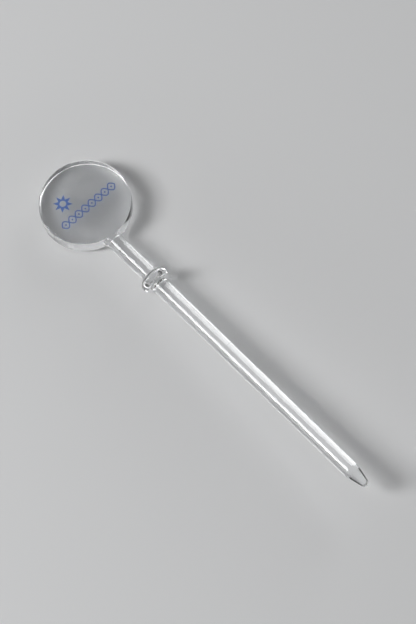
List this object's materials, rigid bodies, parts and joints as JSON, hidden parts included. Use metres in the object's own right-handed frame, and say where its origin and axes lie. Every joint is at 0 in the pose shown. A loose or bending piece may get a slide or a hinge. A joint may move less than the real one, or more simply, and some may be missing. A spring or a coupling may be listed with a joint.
{
  "type": "glass rod tool with disc head",
  "caption": "Clear solid glass rod tool: a thick disc head welded to a short stem, a round collar, and a long shaft with a blunt tapered tip.",
  "frame": {"origin": "centre of the disc head's flat underside", "axes": "+X along the rod from the disc to the tip, +Z out of the disc's decorated face"},
  "size_m": [0.14, 0.028, 0.0091],
  "materials": {
    "disc_glass": "clear, fire-polished",
    "rod_glass": "clear, smooth drawn rod",
    "collar_glass": "clear, fire-polished",
    "weld_glass": "clear, flame-worked",
    "blue_enamel": "thin fired print, slightly satin"
  },
  "bodies": {
    "root": {"disc_head": "disc_glass", "disc_weld": "weld_glass", "stem": "rod_glass", "collar": "collar_glass", "collar_weld_stem": "weld_glass", "collar_weld_shaft": "weld_glass", "shaft": "rod_glass", "tip": "rod_glass", "face_ornament": "blue_enamel"}
  },
  "joints": []
}
